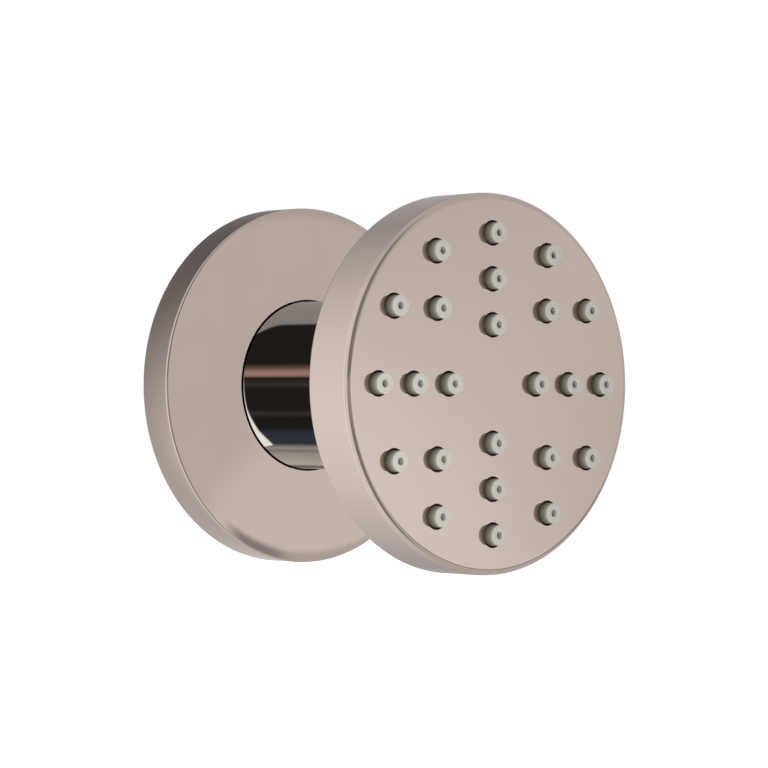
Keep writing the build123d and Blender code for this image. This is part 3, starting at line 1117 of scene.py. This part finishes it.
# Painted shade: a black sheet, seen only in reflections, stands for the shadow inside the gap.
black, _, black_shine = new_glow("black_sleeve")
black_shine.inputs["Strength"].default_value = 0.0
sleeve = bmesh.new()
turn_outline(
    sleeve,
    [
        (flange_hole + sleeve_gap, grip_front + groove_room),
        (neck_radius - sleeve_gap, grip_front + groove_room),
        (neck_radius - sleeve_gap, flange_face - sleeve_gap),
    ],
    sides=card_sides,
)
reflection_card(sleeve, "black_sleeve", black)

# %% [markdown]
# The neck is a mirror too, and what it mirrors is the flange, with a dark room in it. Its bands of black, rose and
# grey are what tells the eye that it is polished. They are painted on a thin card that lies on the flange: every
# strip of the card follows the line that one height on the neck mirrors, so the bands run straight along the neck.
# The flange itself looks through the card, to the pale one. The head's back mirrors it from further away, so the card
# shows only to rays that come from close by.

# %% Bands for the neck
soot = (0.018, 0.016, 0.014)
ink = (0.037, 0.045, 0.062)
haze = (0.048, 0.042, 0.038)
dusk = (0.1, 0.085, 0.075)
umber = (0.13, 0.09, 0.06)
slate = (0.22, 0.22, 0.21)
steel = (0.29, 0.275, 0.26)
stone = (0.38, 0.36, 0.33)
pearl = (0.49, 0.46, 0.42)
rose = (0.4, 0.25, 0.215)
band_stops = [
    (-0.99, steel),
    (-0.97, dusk),
    (-0.94, pearl),
    (-0.81, stone),
    (-0.775, slate),
    (-0.745, stone),
    (-0.69, ink),
    (-0.58, ink),
    (-0.5, soot),
    (-0.385, soot),
    (-0.337, haze),
    (-0.29, soot),
    (-0.045, soot),
    (0.0, haze),
    (0.08, soot),
    (0.115, rose),
    (0.15, rose),
    (0.2, umber),
    (0.25, soot),
    (0.7, soot),
    (0.73, steel),
    (1.0, steel),
]
spark = (1.05, 1.1, 1.07)
spark_widths = [
    (-1.0, (0.0,)),
    (-0.73, (0.0,)),
    (-0.71, (3.3 * mm,)),
    (-0.66, (3.0 * mm,)),
    (-0.54, (1.7 * mm,)),
    (-0.36, (0.8 * mm,)),
    (-0.28, (0.5 * mm,)),
    (0.0, (0.3 * mm,)),
    (0.2, (0.0,)),
    (1.0, (0.0,)),
]
spark_blur = 0.5 * mm
bend_from = 0.45
bend_height = 0.11
bend_length = 6.5 * mm
band_length = 30.0 * mm
band_rows = 300
band_steps = 60
band_lift = 0.05 * mm
neck_reach = 43.0 * mm


def blend(one, other, share):
    return tuple(a + share * (b - a) for a, b in zip(one, other))


def between(stops, place):
    """The values at a place between two of the stops."""
    for (low, low_values), (high, high_values) in zip(stops, stops[1:]):
        if place <= high:
            return blend(low_values, high_values, max(0.0, (place - low) / (high - low)))
    return stops[-1][1]


def band_shade(height, along):
    """The light that the neck mirrors at this share of its radius, and at this distance from the flange."""
    spark_width = between(spark_widths, height)[0]
    spark_share = min(max((spark_width - along) / spark_blur, 0.0), 1.0)
    if height > bend_from:
        height += bend_height * max(0.0, 1 - along / bend_length) ** 2
    return blend(between(band_stops, height), spark, spark_share)


bands = bmesh.new()
mirror_slope = sight.x / sight.y
band_grid, band_shades = [], []
for row in range(band_rows + 1):
    height = 2 * row / band_rows - 1
    turn = asin(height)
    band_row = []
    for step in range(band_steps + 1):
        along = band_length * (step / band_steps) ** 2
        across = -neck_radius * cos(turn) - mirror_slope * along * cos(2 * turn)
        up = neck_radius * sin(turn) + mirror_slope * along * sin(2 * turn)
        band_row.append(bands.verts.new((across, -flange_face - band_lift, up)))
        band_shades.append(band_shade(height, along))
    band_grid.append(band_row)
for near, far in zip(band_grid, band_grid[1:]):
    for corners in zip(near, near[1:], far[1:], far):
        bands.faces.new(corners)

banded, banded_tree, banded_shine = new_glow("neck_bands")
painted = banded_tree.nodes.new("ShaderNodeAttribute")
painted.attribute_name = "shade"
banded_tree.links.new(painted.outputs["Color"], banded_shine.inputs["Color"])
seen_from_behind(banded_tree, banded_shine, reach=neck_reach)
band_card = reflection_card(bands, "neck_bands", banded)
paint = band_card.data.color_attributes.new("shade", "FLOAT_COLOR", "POINT")
for point, shade in zip(paint.data, band_shades):
    point.color = (*shade, 1.0)
print(len(band_stops), "shades in the bands")

# %% [markdown]
# The flange's face shows no image of the neck, so the neck and everything inside stay out of reflections. The head's
# cup, its nozzles, its back disc and the flange stay in: the face mirrors the nozzles, the hexagon on the stem mirrors
# the disc, and the neck mirrors the flange.

# %% Keep the reflections clean
in_reflections = (head_cup, nozzle_buttons, back_disc, wall_flange)
for piece in [*new_pieces, *frame["nodes"].values()]:
    piece.visible_glossy = piece in in_reflections
print("seen in reflections:", ", ".join(piece.name for piece in in_reflections))
